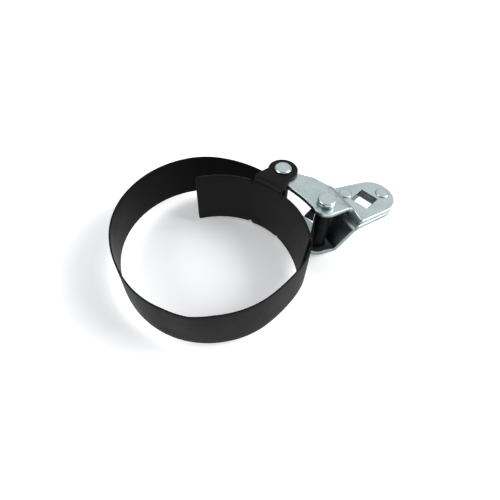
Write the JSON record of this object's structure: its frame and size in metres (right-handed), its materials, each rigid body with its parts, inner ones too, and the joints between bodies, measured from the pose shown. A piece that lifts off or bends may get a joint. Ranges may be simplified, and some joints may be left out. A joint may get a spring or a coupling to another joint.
{
  "type": "oil filter wrench",
  "caption": "Oil filter wrench: a wide flexible steel band and a curved gripping shoe form a ring, and a riveted plate lever with a square drive hole pulls the ring tight.",
  "frame": {"origin": "centre of the gripping ring in plan, halfway up the band's width", "axes": "+Z along the ring's axis, towards the side with the drive head; +X from the ring's centre towards the lever side; +Y towards the nose pin"},
  "size_m": [0.1908, 0.1315, 0.0514],
  "materials": {
    "band_black": "satin black spring steel",
    "shoe_black": "satin black pressed steel",
    "washer_black": "satin black steel",
    "plate_zinc": "bright zinc plated, slightly mottled",
    "fastener_zinc": "bright zinc plated"
  },
  "bodies": {
    "band_root": {"band_ring": "band_black"},
    "band_front": {"band_front": "band_black"},
    "band_right": {"band_right": "band_black"},
    "band_anchor": {"band_anchor_loop": "band_black", "anchor_washer_upper": "washer_black", "anchor_washer_lower": "washer_black"},
    "lever": {"upper_lever_plate": "plate_zinc", "lower_lever_plate": "plate_zinc", "anchor_pin": "fastener_zinc", "nose_pin": "fastener_zinc", "drive_rivet_inner": "fastener_zinc", "drive_rivet_outer": "fastener_zinc"},
    "shoe": {"shoe": "shoe_black"},
    "band_rear": {"band_rear": "band_black"},
    "band_back": {"band_back": "band_black"},
    "band_pull": {"band_pull_loop": "band_black"}
  },
  "joints": [
    {"name": "front_flex", "type": "hinge", "parent": "band_root", "child": "band_front", "pos_m": [0.01706, -0.06366, 0], "axis": [0, 0, 1], "range_deg": [0, 1.96]},
    {"name": "right_flex", "type": "hinge", "parent": "band_front", "child": "band_right", "pos_m": [0.0466, -0.0466, 0], "axis": [0, 0, 1], "range_deg": [0, 5.36]},
    {"name": "anchor_flex", "type": "hinge", "parent": "band_right", "child": "band_anchor", "pos_m": [0.06274, -0.01423, 0], "axis": [0, 0, 1], "range_deg": [0, 11.16]},
    {"name": "lever_pivot", "type": "hinge", "parent": "band_anchor", "child": "lever", "pos_m": [0.074, 0.018, 0], "axis": [0, 0, 1], "range_deg": [-40, 0]},
    {"name": "shoe_swing", "type": "hinge", "parent": "lever", "child": "shoe", "pos_m": [0.04549, 0.04699, 0], "axis": [0, 0, 1], "range_deg": [0, 6.4]},
    {"name": "rear_flex", "type": "hinge", "parent": "band_root", "child": "band_rear", "pos_m": [-0.05973, 0.02785, 0], "axis": [0, 0, 1], "range_deg": [0, 7.64]},
    {"name": "back_flex", "type": "hinge", "parent": "band_rear", "child": "band_back", "pos_m": [-0.02469, 0.0611, 0], "axis": [0, 0, 1], "range_deg": [0, 0.72]},
    {"name": "pull_flex", "type": "hinge", "parent": "band_back", "child": "band_pull", "pos_m": [-0.00003, 0.06413, 0], "axis": [0, 0, 1], "range_deg": [-0.76, 0]}
  ],
  "couplings": [
    {"joint": "front_flex", "follows": "lever_pivot", "ratio": -0.049},
    {"joint": "right_flex", "follows": "lever_pivot", "ratio": -0.134},
    {"joint": "anchor_flex", "follows": "lever_pivot", "ratio": -0.279},
    {"joint": "rear_flex", "follows": "lever_pivot", "ratio": -0.191},
    {"joint": "back_flex", "follows": "lever_pivot", "ratio": -0.018},
    {"joint": "pull_flex", "follows": "lever_pivot", "ratio": 0.019},
    {"joint": "shoe_swing", "follows": "lever_pivot", "ratio": -0.16}
  ]
}
